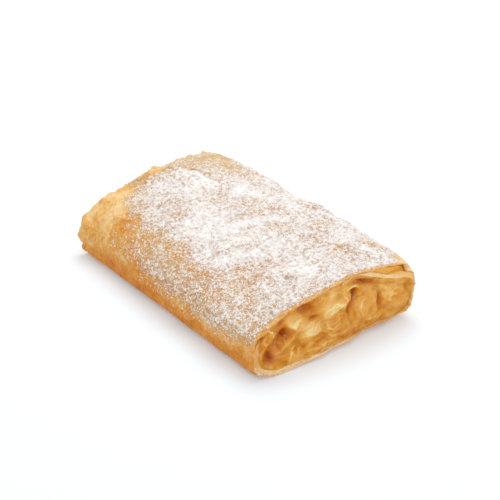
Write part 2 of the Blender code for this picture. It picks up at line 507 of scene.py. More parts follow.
def creaseRelief(places):
    x, y = warped(places)
    height = np.zeros_like(x)
    for start, end, width, rise, _ in crust["creases"]:
        distance, side, _ = toSegment(x, y, start, end)
        wide = np.where(side > 0, width * 1.6, width * 0.8)
        height += rise * np.exp(-(distance / wide) ** 2)
    depth, width = crust["groove"]
    for start, end, rise, back in crust["overlaps"]:
        _, side, run = toSegment(x, y, start, end)
        ends = between(run, -0.4, 0.2) * (1 - between(run, 0.8, 1.4))
        lifted = rise * between(side, -0.35, 0.35) * np.exp(-(np.maximum(side, 0) / back) ** 2)
        groove = depth * np.exp(-((side + width) / width) ** 2)
        height += ends * (lifted - groove)
    return height


def nearLine(x, y, corners):
    # distance to a line through several places
    return np.min([toSegment(x, y, a, b)[0] for a, b in zip(corners, corners[1:])], axis=0)


def cornerLines(places):
    # how near the crease round the lobe, and the top of the foot, on the low side's far end
    x = places[..., 0] + 0.7 * bumps(places, 4, 15)
    z = places[..., 2] + 0.7 * bumps(places, 4, 16)
    low = between(-places[..., 1], 29, 35)
    crease = low * np.exp(-(nearLine(x, z, crust["lobeCrease"]) / 0.85) ** 2)
    foot = low * np.exp(-(nearLine(x, z, crust["footLine"]) / 0.8) ** 2)
    return crease, foot


def cornerRelief(places):
    # the tucked far corner of the low side: a lobe, the crease behind it and a lip below
    x, y, z = places[..., 0], places[..., 1], places[..., 2]
    low = between(-y, 30, 36)
    lobe = 0.9 * np.exp(-((x + 58) / 4.5) ** 2 - ((z - 12) / 4.5) ** 2)
    lip = 0.5 * between(6 - z, 0, 2) * between(-x, 42, 52)
    crease, foot = cornerLines(places)
    return low * (lobe + lip) - 0.8 * crease - 0.8 * foot


def crustRelief(places):
    x, y = places[..., 0], places[..., 1]
    flat = places.copy()
    turn = math.radians(32)
    flat[..., 0] = (x * math.cos(turn) + y * math.sin(turn)) / 2.6
    flat[..., 1] = -x * math.sin(turn) + y * math.cos(turn)
    height = crust["waves"] * bumps(places, 13.0, 1, 2)
    folds = 1 - np.abs(bumps(flat, 5.2, 2)) * 2.4
    height += crust["wrinkles"] * np.clip(folds, 0, 1) ** 2 * between(bumps(places, 16, 3), -0.25, 0.3)
    height += crust["blisters"] * between(bumps(places, 3.4, 4), 0.15, 0.65)
    height += crust["ripples"] * bumps(places, 2.0, 5, 2)
    return height + creaseRelief(places) + cornerRelief(places)


def pastTerrace(places):
    # how far over the edge of the far sheet, mm, and how much that counts here
    corners = np.array(crust["terrace"])
    x = places[..., 0] + 0.5 * bumps(places, 3, 17)
    over = places[..., 1] - np.interp(x, corners[:, 0], corners[:, 1]) + 0.7 * bumps(places, 3, 18, 2)
    return over, between(-x, 26, 36)


dusting = {
    "cover": 0.80,           # over most of the top
    "lowSideThinner": 0.34,
    # shares of the sugar missing: at the far low corner, by the torn end, by the peel, along the cut
    "farCornerBare": 0.98,
    "tornEndBare": 0.45,
    "peelBare": 0.85,
    "fringeBare": 0.8,
}


def sugarCover(places, normals):
    # 0 bare dough to 1 thick sugar
    x, y, z = places[..., 0], places[..., 1], places[..., 2]
    wander = bumps(places, 9, 21, 3)
    fine = bumps(places, 3.2, 22, 2)
    bentX, bentY = warped(places)
    cover = dusting["cover"] + 0.12 * wander + 0.08 * fine + 0.10 * bumps(places, 15, 23)
    # thin by the low side
    cover -= dusting["lowSideThinner"] * between(-y + 3 * wander, 20, 31) * (1 - 0.45 * between(x, 18, 44))
    corner = (-x - 34) * 0.61 + (np.minimum(-y, 37) - 31) * 0.79 + 4 * wander + 3 * fine
    cover *= 1 - dusting["farCornerBare"] * np.clip((corner + 10) / 20, 0, 1)
    over, here = pastTerrace(places)
    cover -= here * between(over, -0.2, 0.6) * (0.16 + 0.25 * np.exp(-np.maximum(over, 0) / 5))
    cover *= 1 - dusting["tornEndBare"] * between(-x + 3 * wander, 46, 62)
    for middle, long, wide, bare in crust["bare"]:
        away = ((x - middle[0]) / long) ** 2 + ((y - middle[1]) / wide) ** 2
        cover -= bare * np.exp(-away) * (1 + 0.6 * fine)
    for start, end, width, _, caught in crust["creases"]:
        distance = toSegment(bentX, bentY, start, end)[0]
        cover += caught * np.exp(-(distance / (width * 1.5)) ** 2)
    lowSide = between(-y, 33, 38.5)
    limit = 11.0 + 4.3 * between(x, 38, 58) - 1.0 * between(-x, 15, 35) + 3.0 * wander + 2.0 * fine
    cover *= 1 - lowSide * (0.05 + 0.93 * np.clip((limit - z + 5) / 9, 0, 1))
    cover *= between(normals[..., 2], 0.02, 0.38) * (1 - lowSide) + lowSide
    corner = between(x + 0.5 * (y - 36) + 3 * fine, 52, 57) * between(y + 2 * fine, 30, 35)
    cover *= 1 - dusting["peelBare"] * corner
    cover *= 1 - dusting["fringeBare"] * between(x + 0.6 * fine, 60.4, 62.0)
    return np.clip(cover, 0, 1.2)


baking = {
    "tone": 0.47,            # 0 pale to 1 deep brown
    "patches": 0.14,
    "spots": 0.08,
    "foot": 0.22,            # how much browner the low side is near its foot
    "farCornerPaler": 0.14,
    "tornEndPaler": 0.30,
    "peelPaler": 0.26,
    "underside": 0.25,
}


def bakeTone(places, normals):
    x, y, z = places[..., 0], places[..., 1], places[..., 2]
    tone = baking["tone"] + baking["patches"] * bumps(places, 11, 31, 3)
    tone += baking["spots"] * bumps(places, 3, 32, 2)
    lowSide = between(-y, 34, 39)
    tone += lowSide * (baking["foot"] * between(12 - z, 0, 8) + 0.01) * (1 - 0.15 * between(x, 38, 56))
    farCorner = between(-x, 38, 48) * between(-y, 8, 20) * (1 - lowSide)
    tone -= baking["farCornerPaler"] * farCorner
    tone -= baking["tornEndPaler"] * between(-x, 44, 56) * between(y, -10, 10)
    over, here = pastTerrace(places)
    # painted shadow: a dark line on the lower sheet just past the far sheet's edge; further out that sheet
    # is paler
    tone += here * (0.40 * np.exp(-((over - 0.7) / 0.7) ** 2) - 0.22 * between(over, 1, 4))
    tone += 0.10 * between(y, 36, 40)
    tone -= baking["peelPaler"] * between(x + 0.5 * (y - 36), 50, 56) * between(y, 28, 33)
    tone += baking["underside"] * between(-normals[..., 2], 0.5, 0.9)
    crease, foot = cornerLines(places)
    # painted light: the lobe is painted paler against the shade it falls in, and a pale painted highlight
    # runs along its crease
    lobe = lowSide * np.exp(-((x + 58) / 4.5) ** 2 - ((z - 12) / 4) ** 2)
    tone -= 0.14 * lobe + 0.10 * crease
    tone -= 0.20 * between(-x, 44, 52) * lowSide * between(z, 3.5, 5) * (1 - between(z, 7.5, 9.5))
    return np.clip(tone, 0, 1)


def shapeCrust():
    # the outer face with its relief and ragged ends, and the thickness of the sheet there
    x, y, z = outerSkin[..., 0], outerSkin[..., 1], outerSkin[..., 2]
    lift = crustRelief(outerSkin) * between(z, 0.3, 5.0)
    outer = outerSkin + skinNormals * lift[..., None]
    rimY, rimZ = outer[-1, :, 1], outer[-1, :, 2]
    edgeNoise = bumps(np.stack([np.zeros_like(angles), rimY, rimZ], -1), 2.2, 7, 3)
    tornEdge = np.stack([np.ones_like(angles), outer[0, :, 1], outer[0, :, 2]], -1)
    tornNoise = 0.7 * bumps(tornEdge, 7.0, 8) + 0.8 * bumps(tornEdge, 2.6, 10, 3)
    # the sheet is torn back a little over the fold, and droops there
    peel = between(rimY, 12, 26) * (1 - between(rimY, 34, 40)) * between(rimZ, 19, 25)
    atCut = between(share, 0.9, 1.0)
    atTorn = 1 - between(share, 0.0, 0.06)
    outer[..., 0] += atCut * (crust["edgeJag"] * edgeNoise - crust["peelBack"] * peel) + atTorn * tornNoise
    outer[..., 2] -= crust["peelDroop"] * peel * between(x, 55, 62)
    outer[..., 2] = np.maximum(outer[..., 2], 0.0) + lipCurl(x - cutEnd, y, z)
    thick = crust["skin"] + (crust["peelSkin"] - crust["skin"]) * peel * between(x, 30, 50)
    thinSkin = np.maximum(between(y, 22, 34) * (1 - between(z, 17, 21)), 1 - between(z, 0.5, 3))
    thick += (crust["sideSkin"] - thick) * thinSkin * between(x, 48, 58)
    return outer, thick


skinNormals = normalsOf(outerSkin)
crustOuter, wall = shapeCrust()
crustNormals = normalsOf(crustOuter)


def crustRim(row, outward):
    # layered edge between the outer and the inner face
    rings = []
    for depth, out in zip(crust["rimRows"][1:-1], crust["rimOut"][1:-1]):
        ring = crustOuter[row] - skinNormals[row] * (wall[row] * depth)[:, None]
        wobble = crust["rimWobble"] * bumps(ring, 1.3, 9)
        ring[:, 0] += outward * (out + wobble)
        rings.append(ring)
    return rings


def buildCrust():
    innerRows = np.linspace(len(crustOuter) - 1, 0, crust["innerRows"]).astype(int)
    inner = [crustOuter[row] - skinNormals[row] * wall[row][:, None] for row in innerRows]
    cutRim, tornRim = crustRim(-1, 1), crustRim(0, -1)
    places = np.concatenate([crustOuter, cutRim, inner, tornRim[::-1]], 0)
    places[..., 2] = np.maximum(places[..., 2], 0.0)
    extra = len(places) - len(crustOuter)
    none = np.zeros((extra, places.shape[1]))
    facing = 0.65 * skinNormals + 0.35 * crustNormals
    sugar = np.concatenate([sugarCover(crustOuter, facing), none], 0)
    rimY, rimZ = places[-extra:, :, 1], places[-extra:, :, 2]
    atCutRim = between(places[-extra:, :, 0], 0, 10)
    lowLip = (1 - between(rimZ, 2.5, 6)) * (1 - between(rimY, -2, 14)) * atCutRim
    rimTone = crust["rimTone"] - crust["lowLipPaler"] * lowLip
    near, high = crust["thickSidePaler"]
    rimTone -= (near + high * between(rimZ, 4, 9)) * between(rimY, 14, 30) * (1 - between(rimZ, 17, 22))
    # along the peeled lip the rim is paler: its own cream colour and a painted highlight
    rimTone -= crust["peelLipHighlight"] * between(rimY, 12, 24) * between(rimZ, 20, 24) * atCutRim
    tone = np.concatenate([bakeTone(crustOuter, crustNormals), rimTone], 0)
    edge = np.concatenate([np.zeros(crustOuter.shape[:2]), none + 1], 0)
    return places, {"sugar": sugar, "bake": tone, "cutEdge": edge}


def crustFinish():
    look = Finish("bakedDough")
    cover, bake, edge = look.mark("sugar"), look.mark("bake"), look.mark("cutEdge")
    mottle = look.grain(4.5, 4, 0.6)
    spots = look.grain(1.3, 3, 0.65)
    speck = look.grain(1.4, 3, 0.65)
    clouds = look.grain(3.6, 3, 0.6)
    banks = look.grain(11.0, 3, 0.55)
    tone = bake + (mottle - 0.5) * 0.6 + (spots - 0.5) * 0.7
    dough = look.colours(
        tone,
        (0.0, paint(246, 222, 178)), (0.28, paint(238, 196, 126)), (0.5, paint(222, 156, 68)),
        (0.72, paint(212, 130, 32)), (1.0, paint(172, 90, 12)))
    layers = look.grain(0.9, 3, 0.6, stretch=(3, 1, 1))
    cutColour = look.colours(layers + 0.5 - bake, (0.3, paint(214, 142, 60)), (0.5, paint(236, 180, 100)),
                             (0.7, paint(248, 206, 150)), (0.95, paint(255, 230, 192)))
    colour = look.mix(edge, dough, cutColour)
    # a thin film of powder dulls the dough; thicker, it turns white in specks
    spotty = 2.7 - look.step(cover, 0.6, 0.95) * 0.8
    amount = cover + (speck - 0.5) * spotty + (clouds - 0.5) * 0.8 + (banks - 0.5) * 0.7
    dusty = look.step(cover, 0.02, 0.40)
    colour = look.mix(dusty * 0.36, colour, paint(192, 144, 98))
    film = look.step(amount, 0.05, 0.70) * dusty
    filmColour = look.mix(look.step(cover, 0.35, 0.85), paint(226, 194, 156), paint(203, 188, 177))
    colour = look.mix(film * 0.82, colour, filmColour)
    white = look.step(amount, 0.42, 1.24)
    colour = look.mix(white, colour, paint(255, 252, 250))
    fine = look.grain(0.55, 2, 0.6)
    height = mottle * 0.5 + spots * 0.6 + fine * (0.35 + film * 0.5) + speck * film
    return look.surface(
        Base_Color=colour, Roughness=0.52 + film * 0.38, Normal=look.relief(height, 0.4),
        Specular_IOR_Level=0.22)


crustPlaces, crustLayers = buildCrust()
crustPiece = makePiece(gridOn(crustPlaces, crustLayers, closed=True), "bakedCrust", crustFinish(),
                       ["pastry"])


print("loose sheets")
leaves = {
    "thick": 0.32,
    "step": 0.45,         # mesh size
    "sunk": 0.16,         # how deep the held side lies
    "gap": 0.12,          # most air left under a free edge
    # the free edge seen from above, how far back the sheet is held, rise of the edge, raggedness
    "edges": (
        (((-26, 14.2), (-30, 13.6), (-37, 12.2), (-44, 11), (-50, 8.5), (-56, 6), (-60, 3)),
         9.0, 0.60, 0.9),
        (((-57, -4), (-60, -12), (-59, -21), (-57, -30), (-55, -34)), 7.0, 0.55, 1.6),
        (((-52, 35), (-56, 28), (-55, 20), (-57, 14)), 6.0, 0.50, 1.5),
        (((30, 33), (22, 34.5), (10, 34), (0, 31)), 6.0, 0.45, 1.0),
    ),
    # small flakes lifted off: how many, length, depth and rise, and where: along, across
    "flakes": (18, (2.5, 5.0), (1.8, 3.2), (0.3, 0.7)),
    "flakeZones": (((-61, -50), (-28, 33)), ((-60, -55), (-30, 34))),
    "seed": 17,
}


groundTree = treeOf(crustPiece.data)


def groundHeight(x, y):
    hit = groundTree.ray_cast(Vector((x, y, 60)), Vector((0, 0, -1)))[0]
    if hit is None or hit.z < 15:
        hit = groundTree.find_nearest(Vector((x, y, 27)))[0]
    return hit.z


def alongPath(corners, step):
    corners = np.array(corners, float)
    run = np.concatenate([[0], np.cumsum(np.linalg.norm(np.diff(corners, axis=0), axis=1))])
    at = np.linspace(0, run[-1], max(int(run[-1] / step), 6))
    path = np.stack([np.interp(at, run, corners[:, k]) for k in (0, 1)], -1)
    for _ in range(8):
        path[1:-1] = (path[:-2] + 2 * path[1:-1] + path[2:]) / 4
    return path


def addLeaf(whole, corners, back, rise, jag, seed):
    # a sheet free along one edge and sunk into the crust at its other sides
    path = alongPath(corners, leaves["step"])
    ahead = np.gradient(path, axis=0)
    ahead /= np.linalg.norm(ahead, axis=1, keepdims=True)
    inward = np.stack([-ahead[:, 1], ahead[:, 0]], -1)
    t = np.linspace(0, 1, max(int(back / leaves["step"]), 5))[:, None] ** 1.3
    edge = np.concatenate([path, np.full((len(path), 1), float(seed))], 1)
    ragged = jag * bumps(edge, 3.0, seed, 3)
    plan = path[None] + inward[None] * (back * t + ragged[None] * (1 - t))[..., None]
    ground = np.array([[groundHeight(*p) for p in row] for row in plan])
    run = np.linspace(0, 1, len(path))
    ends = between(run, 0, 0.15) * between(1 - run, 0, 0.15)
    curl = 1 + 0.5 * bumps(edge, 5.0, seed + 1)
    height = rise * curl * ends * (1 - t) ** 2.2 + 0.10 * ends * (1 - t) - leaves["sunk"] * t
    height -= leaves["sunk"] * (1 - ends)
    thick = leaves["thick"] * ends * (1 - 0.999 * t ** 3)
    thick += np.maximum(height - thick - leaves["gap"], 0)
    top = np.concatenate([plan, (ground + height)[..., None]], -1)
    bottom = top - np.array([0, 0, 1.0]) * thick[..., None]
    up = np.zeros_like(top)
    up[..., 2] = 1
    sugarOn = sugarCover(top, up) + 0.25 * between(sugarCover(top, up), 0.1, 0.4) * (1 - t) ** 4
    whole.append(shellOn(top, bottom, {
        "sugar": sugarOn, "bake": bakeTone(top, up) + 0.10 * (1 - t) ** 3,
        "cutEdge": 0.5 * (1 - t) ** 12 + 0 * top[..., 2]}))


def joinAll(parts):
    # several meshes into one, with their marks
    whole = bmesh.new()
    for part in parts:
        mesh = bpy.data.meshes.new("part")
        part.to_mesh(mesh)
        part.free()
        whole.from_mesh(mesh)
        bpy.data.meshes.remove(mesh)
    return whole


def buildLeaves():
    draw = random.Random(leaves["seed"])
    parts = []
    for number, (corners, back, rise, jag) in enumerate(leaves["edges"]):
        addLeaf(parts, corners, back, rise, jag, 90 + 3 * number)
    count, lengths, depths, rises = leaves["flakes"]
    for number in range(count):
        (x0, x1), (y0, y1) = leaves["flakeZones"][number % len(leaves["flakeZones"])]
        x, y = draw.uniform(x0, x1), draw.uniform(y0, y1)
        turn = draw.uniform(-0.8, 0.8) - math.pi / 2
        half = draw.uniform(*lengths) / 2
        dx, dy = math.cos(turn) * half, math.sin(turn) * half
        bend = draw.uniform(0.1, 0.5)
        middle = (x + dy * bend, y - dx * bend)
        addLeaf(parts, ((x - dx, y - dy), middle, (x + dx, y + dy)), draw.uniform(*depths),
                draw.uniform(*rises), 0.5, 150 + number)
    return joinAll(parts)


makePiece(buildLeaves(), "looseSheets", crustPiece.data.materials[0])


def sheetFinish(name, pale, deep, wet, wetCut):
    look = Finish(name)
    soaked = look.mark("soaked")
    mottle = look.grain(2.2, 4, 0.6)
    lines = look.grain(1.0, 3, 0.6, stretch=(4, 1, 1))
    edge = look.mark("cutEdge")
    dough = look.colours(mottle, (0.32, deep), (0.68, pale))
    cut = look.colours(lines, (0.3, paint(236, 190, 126)), (0.5, paint(252, 212, 156)),
                       (0.72, paint(255, 230, 186)))
    dough = look.mix(soaked * 0.7, dough, wet)
    cut = look.mix(soaked * 0.8, cut, wetCut)
    return look.surface(Base_Color=look.mix(edge, dough, cut), Roughness=0.55,
                        Normal=look.relief(mottle + lines * 0.5, 0.3), Specular_IOR_Level=0.4)


def onSkin(field, x, theta):
    # a value of the crust's rows and columns at a place along and an angle
    columns = len(angles)
    j = np.interp(np.mod(theta, math.tau), np.append(angles, math.tau), np.arange(columns + 1))
    j0 = np.minimum(np.floor(j).astype(int), columns - 1)
    fj = j - j0

    def atColumn(k):
        k = np.mod(k, columns)
        i = np.clip((x - tornEnd[k]) / (cutEnd[k] - tornEnd[k]), 0, 1) * (len(field) - 1)
        i0 = np.clip(np.floor(i).astype(int), 0, len(field) - 2)
        return field[i0, k] * (1 - i + i0) + field[i0 + 1, k] * (i - i0)

    return atColumn(j0) * (1 - fj) + atColumn(j0 + 1) * fj


def insideOf(rows):
    # the finished crust's inner face, as a radius by row and column
    found = np.zeros((rows, len(angles)))
    for j, angle in enumerate(angles):
        out = Vector((0, math.cos(angle), math.sin(angle)))
        for i, x in enumerate(np.linspace(tornEnd[j], cutEnd[j], rows)):
            x = min(max(x, tornEnd[j] + 1.5), cutEnd[j] - 1.2)
            axis = Vector((x, 0, sleeve["axisHeight"]))
            hit = groundTree.ray_cast(axis, out)[0]
            found[i, j] = (hit - axis).length if hit else found[i - 1, j]
    return found


insideCrust = insideOf(80)


def doughRoom(x, theta):
    # space between the filling and the outer sheet, and a little into the sheet
    return np.maximum(onSkin(insideCrust, x, theta) - innerRadius(x, theta) + 0.15, 0.05)


# how much of the space in the dough the filling takes up, beyond its plain form
snugness = {
    "below": 0.3, "belowThickSide": 0.5, "thickSide": 0.88, "above": 0.9, "tornEnd": 0.85,
    # where the dough is thick, at the low corner: how far the filling stands back, at what angle, how wide
    "corner": (2.4, 3.52, 0.24),
}


def fillRadius(x, theta):
    # the filling's reach from the axis
    level, rising = np.cos(theta), np.sin(theta)
    y = sleeve["axisHeight"] * level / np.maximum(-rising, 0.02)
    low = snugness["below"] + snugness["belowThickSide"] * between(y, -12, 6)
    low = low * between(-rising, 0.02, 0.25)
    side = snugness["thickSide"] * between(level, 0.1, 0.6) * (1 - between(rising, 0.0, 0.14))
    above = snugness["above"] * between(rising, 0.05, 0.20) * between(-level, -0.13, -0.02)
    torn = snugness["tornEnd"] * between(-x, 42, 50)
    back, middle, wide = snugness["corner"]
    corner = back * np.exp(-((np.mod(theta, math.tau) - middle) / wide) ** 2) * between(x, 20, 40)
    share = np.maximum(np.maximum(low, side), np.maximum(above, torn))
    return innerRadius(x, theta) + share * doughRoom(x, theta) - corner


def roomLeft(x, theta):
    return innerRadius(x, theta) + doughRoom(x, theta) - fillRadius(x, theta)


sheetForm = {
    "rimDepths": (0.2, 0.4, 0.6, 0.8),
    "rimOut": 0.2,        # how far the cut edge bulges, mm
    "rimJag": 0.25,
    "endFade": 0.12,      # over this angle a sheet thins out at its two ends
}


def buildSheet(spec):
    # a closed sheet: upper face, edge at the cut, lower face, and back
    across = np.radians(np.linspace(*spec["angles"], spec["columns"]))
    back = np.linspace(0, 1, spec["rows"]) ** 0.8
    edge = edgeAt(across) + spec["out"](across)
    x = spec["from"] + (edge[None, :] - spec["from"]) * back[:, None]
    theta = np.broadcast_to(across, x.shape)
    fade = sheetForm["endFade"]
    ends = between(theta, across[0], across[0] + fade) * between(-theta, -across[-1], -across[-1] + fade)
    thick = 0.05 + ends * spec["thick"](x, theta)
    base = fillRadius(x, theta) + spec["lift"]
    low, high = skinPlaces(x, theta, base), skinPlaces(x, theta, base + thick)
    rough = ends * spec["crumple"] * bumps(high, spec["crumpleSize"], spec["seed"], 2)
    outward = (high - low) / np.linalg.norm(high - low, axis=2, keepdims=True)
    high = high + np.minimum(rough - 0.1, 0)[..., None] * outward
    rim = []
    depths = np.array(sheetForm["rimDepths"])
    for depth in depths:
        ring = high[-1] * (1 - depth) + low[-1] * depth
        ring[:, 0] += sheetForm["rimOut"] + sheetForm["rimJag"] * bumps(ring, 1.2, spec["seed"] + 1)
        rim.append(ring)
    places = np.concatenate([high, rim, low[::-1]], 0)
    places[..., 2] = np.maximum(places[..., 2], 0.05)
    marks = np.zeros(places.shape[:2])
    marks[len(high) - 1:len(high) + len(depths)] = 1
    out = np.concatenate([thick, thick[-1] * (1 - depths[:, None]), 0 * thick], 0)
    bm = gridOn(places, {"cutEdge": marks, "soaked": spec["soaked"](places[..., 1], places[..., 2], out)})
    bmesh.ops.holes_fill(bm, edges=[edge for edge in bm.edges if edge.is_boundary])
    bmesh.ops.recalc_face_normals(bm, faces=bm.faces)
    return bm


def layered(x):
    # falls away towards the cut in two steps, like the edges of two sheets
    return 0.5 * between(x, 59.0, 59.5) + 0.5 * between(x, 60.3, 60.8)


print("inner sheets")
# thin at the cut, and rising to touch the outer sheet a little way in
fold = {
    "angles": (-6, 82), "columns": 130, "rows": 60, "from": 40.0, "seed": 41,
    "lift": 0.05, "crumple": 0.6, "crumpleSize": 2.2, "band": 2.1,
    "soaked": lambda y, z, out: np.maximum(between(y, 31, 37), between(out - fold["band"], 0, 0.5)),
    "thick": lambda x, a: roomLeft(x, a) + (np.minimum(fold["band"], roomLeft(x, a)) - roomLeft(x, a))
    * layered(x) * between(a, 0.19, 0.40),
    "out": lambda a: -0.4 + 0.3 * np.sin(a * 9),
}
lining = {
    "angles": (-186, 8), "columns": 220, "rows": 16, "from": 46.0, "seed": 45,
    "lift": 0.05, "crumple": 0.12, "crumpleSize": 2.5,
    "soaked": lambda y, z, out: np.maximum(between(y, -8, 16), between(z, 2.5, 6)),
    "thick": roomLeft,
    "out": lambda a: -0.1 + 0.35 * np.sin(a * 5) + 0.25 * np.sin(a * 13),
}
underSheet = {
    "angles": (-188, -98), "columns": 130, "rows": 14, "from": 52.0, "seed": 57,
    "lift": -0.55, "crumple": 0.2, "crumpleSize": 2.4,
    "soaked": lambda y, z, out: np.maximum(between(y, -12, 18), between(z, 2.5, 6)),
    "thick": lambda x, a: 0.45 + 0 * x,
    "out": lambda a: -0.5 + 0.45 * np.sin(a * 9.0 + 1),
}
# painted light: the folded sheet's gold, and its soaked orange in the window under the peeled lip, are set
# near full brightness to make up for the shade the lip casts there
foldLookWithPaintedLight = sheetFinish("foldedSheet", paint(255, 220, 124), paint(255, 182, 66), paint(255, 196, 78),
                       paint(250, 190, 96))
liningLook = sheetFinish("liningSheet", paint(244, 208, 158), paint(222, 158, 92), paint(226, 156, 62),
                         paint(232, 166, 78))
makePiece(buildSheet(fold), "foldedDough", foldLookWithPaintedLight)
makePiece(buildSheet(lining), "doughLining", liningLook)
makePiece(buildSheet(underSheet), "underSheet", liningLook)


print("apple filling")
filling = {
    "cutPlane": 61.7,     # where the knife went, high up
    "toe": 3.9,           # the foot of the filling stands this much further out
    "syrupBack": 0.9,     # syrup between the chunks lies behind the knife cut
    "syrupLumps": 0.8,
    "tilt": 0.10,         # how far each cut face leans
    "blockDeep": 14.0,    # how far in the modelled block of chunks goes
    "inset": -0.3,        # space left inside the dough; below 0, how far it presses in
    "voxel": 0.38,        # mesh size at the cut
    "coarseVoxel": 0.75,  # and at the torn end
    "softening": 5,
    "sharpen": 0.10,      # how much edges and clefts are drawn out
    "edgeLightCleftShade": 0.36,     # painted highlight on an edge and painted shade in a cleft: how much paler an edge is, and darker a cleft
    "edgePasses": 16,     # how broad such an edge may be
    "rimTone": 0.8,       # the same painted highlight and shade for the finest edges
    "rimPasses": 3,
    "syrupTone": 0.32,    # 0 dark to 1 pale
    "tornSyrupTone": 0.25,
    "lipTone": (0.62, 0.6),  # tone beside the dough, and how evenly it is that
    "hollowShade": 0.22,   # painted shade: how much darker a hollow is for each mm of depth
    "strandWidth": 0.34,
    "strandRise": 0.28,
    # slices seen edge on, as arcs: middle across and up, reach across and up, where the arcs centre, spacing
    "slices": (
        (-0.5, 8.6, 6.5, 4.5, (-1, 15), 1.5),
        (-11.0, 12.0, 5.0, 3.5, (-16, 20), 1.4),
        (-33.0, 15.0, 4.0, 3.5, (-33, 15), 1.6),
    ),
    "sliceDepth": 0.10,
    "sliceTone": 0.07,
    # middle across and up, width, height, depth, turn, how pale, set back from the cut
    "chunks": (
        (-18.6, 17.2, 9, 7.0, 11, -30, 0.92, -0.2),
        (-9.6, 11.0, 14, 7.0, 12, 14, 0.84, 0.0),
        (-12.5, 19.6, 17, 9.5, 12, -18, 0.46, 1.6),
        (0.5, 19.5, 18, 13.0, 14, 24, 0.78, 0.0),
        (0.5, 9.6, 18, 11.0, 12, -10, 0.56, 0.1),
        (16.5, 11.5, 15, 17.0, 13, 10, 0.60, 0.1),
        (31.0, 9.5, 17, 14.0, 12, 10, 0.55, 0.4),
        (28.0, 13.0, 9, 6.5, 8, 0, 0.68, -0.2),
        (-33.0, 15.2, 10, 9.5, 9, 30, 0.46, 0.2),
        (-26.5, 8.8, 15, 8.0, 10, 38, 0.52, 0.3),
        (-9.5, 4.6, 18, 7.0, 10, 8, 0.56, 0.0),
        (-21.0, 3.8, 17, 7.0, 10, 0, 0.50, 0.0),
        (29.0, 17.2, 20, 8.5, 12, -16, 0.62, 0.5),
        (18.5, 20.0, 14, 7.0, 11, -8, 0.55, 1.2),
        (8.0, 4.4, 17, 7.0, 10, 4, 0.46, 0.2),
        (21.5, 4.6, 15, 6.5, 10, 12, 0.50, 0.3),
        (-34.0, 6.5, 9, 9.0, 8, -20, 0.40, 1.0),
        (-25.5, 15.5, 9, 8.0, 9, 60, 0.30, 2.2),
        (8.0, 23.2, 10, 5.0, 9, 0, 0.58, 0.8),
    ),
    # hollows between them: middle across and up, size across and up, turn, depth
    "hollows": (
        (-24.0, 13.8, 2.6, 2.8, 20, 2.3),
        (-14.2, 21.8, 5.6, 2.2, 4, 1.7),
        (-9.3, 16.0, 3.0, 0.8, 5, 1.2),
        (10.2, 21.4, 2.0, 1.3, -20, 1.7),
        (10.7, 18.8, 1.2, 2.2, -10, 2.0),
        (8.3, 15.0, 1.0, 2.6, -36, 1.3),
        (-32.6, 7.4, 2.8, 2.4, 0, 2.2),
        (15.8, 23.6, 5.0, 1.3, -19, 2.2),
        (23.2, 12.0, 1.5, 3.4, 9, 1.9),
        (37.5, 14.0, 1.8, 3.4, 0, 0.9),
        (-28.5, 11.0, 1.0, 2.6, 30, 1.0),
        (-36.2, 15.5, 1.2, 3.2, 0, 1.0),
        (-9.0, 6.4, 6.5, 0.8, 12, 0.9),
        (3.0, 21.5, 3.0, 1.4, -15, 1.0),
        (7.5, 11.2, 0.9, 2.6, 0, 0.8),
        (17.6, 6.4, 0.9, 0.7, 0, -1.2),
    ),
    # thin pale edges of slices, as arcs, partly painted highlights: middle across and up, reach across and
    # up, from and to, how pale
    "strands": (
        (-33.6, 15.0, 3.7, 3.3, -70, 130, 0.50),
        (-33.0, 14.6, 2.1, 1.8, 100, 300, 0.30),
        (9.3, 20.6, 3.6, 3.0, 10, 150, 0.55),
        (1.0, 12.0, 4.4, 4.4, 70, 300, 0.30),
        (-0.6, 11.6, 2.6, 1.9, -30, 150, 0.20),
        (0.4, 13.2, 6.6, 4.8, 25, 150, 0.40),
        (1.6, 9.2, 6.6, 3.6, 200, 345, 0.40),
        (2.6, 18.6, 3.6, 2.6, -100, 60, 0.45),
        (0.6, 17.4, 2.2, 1.4, 20, 220, 0.35),
        (19.6, 12.4, 6.4, 5.4, 120, 235, 0.35),
        (29.9, 11.6, 2.4, 1.7, 0, 250, 0.40),
        (31.5, 12.2, 4.4, 3.0, 60, 170, 0.25),
        (-19.0, 2.6, 6.2, 5.6, 95, 178, 0.50),
        (-17.4, 3.0, 4.4, 4.2, 90, 172, 0.35),
        (-32.6, 7.6, 3.8, 3.5, 80, 220, 0.38),
        (-4.0, 9.0, 9.0, 4.4, 195, 290, 0.30),
        (-10.4, 11.4, 3.6, 2.0, 190, 350, 0.35),
        (-27.0, 10.6, 2.6, 3.2, -60, 90, 0.30),
        (-14.0, 3.4, 5.0, 1.6, 20, 150, 0.30),
        (8.0, 4.0, 6.0, 2.0, 40, 160, 0.25),
    ),
    "tornChunks": 34,     # at the torn end, placed at random
    "tornSizes": (8, 14),
    "tornTones": (0.35, 0.9),
    "tornBack": 1.6,      # how far behind the dough's edge they stop
    "seed": 5,
}


def knifePlane(y, z):
    foot = between(12 - z, 0, 10) * between(20 - y, 0, 30) * between(y, -39, -31)
    return filling["cutPlane"] + filling["toe"] * foot


